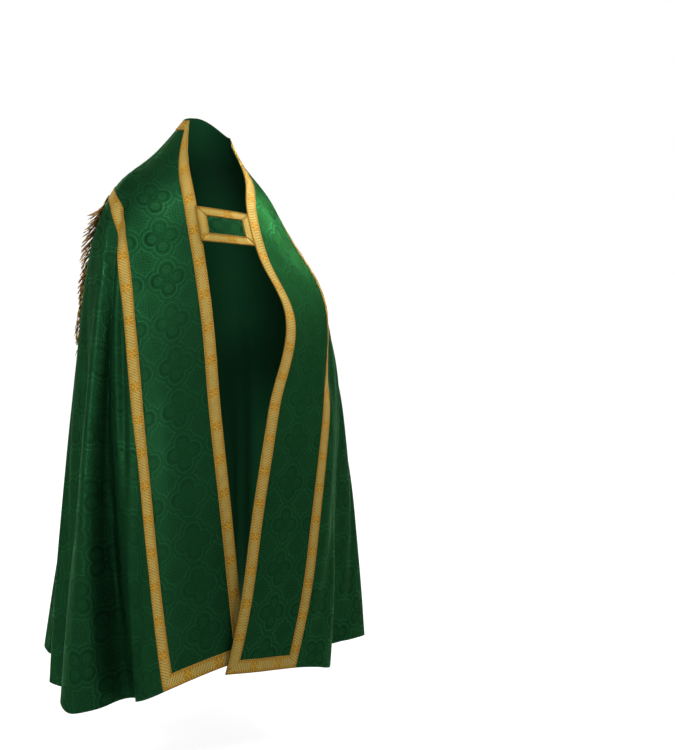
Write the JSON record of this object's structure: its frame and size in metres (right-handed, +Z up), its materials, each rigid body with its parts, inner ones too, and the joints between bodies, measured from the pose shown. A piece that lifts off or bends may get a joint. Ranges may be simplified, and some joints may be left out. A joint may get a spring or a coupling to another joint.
{
  "type": "cope vestment",
  "caption": "Green damask church cope worn open over the shoulders, with galloon-edged front bands, a clasp tab and a fringed hood.",
  "frame": {"origin": "middle of the neck opening at the height of the wearer's right neck side, where the shoulders carry the cope", "axes": "+Z up; the open front faces -Y; the wearer's left is +X"},
  "size_m": [0.9169, 0.7458, 1.4765],
  "materials": {
    "damask": "green woven damask with a satin figure",
    "galloon": "gold woven braid",
    "fringe": "bronze-gold twisted cord"
  },
  "bodies": {
    "root": {"body_right": "damask", "body_left": "damask", "orphrey": "damask", "hood_panel": "damask", "morse_panel": "damask", "edge_galloon": "galloon", "seam_galloon": "galloon", "hem_galloon_right": "galloon", "hem_galloon_left": "galloon", "collar_galloon": "galloon", "hood_top_galloon": "galloon", "hood_frame_galloon": "galloon", "hood_edge_galloon": "galloon", "morse_galloon": "galloon", "hood_fringe": "fringe"}
  },
  "joints": []
}
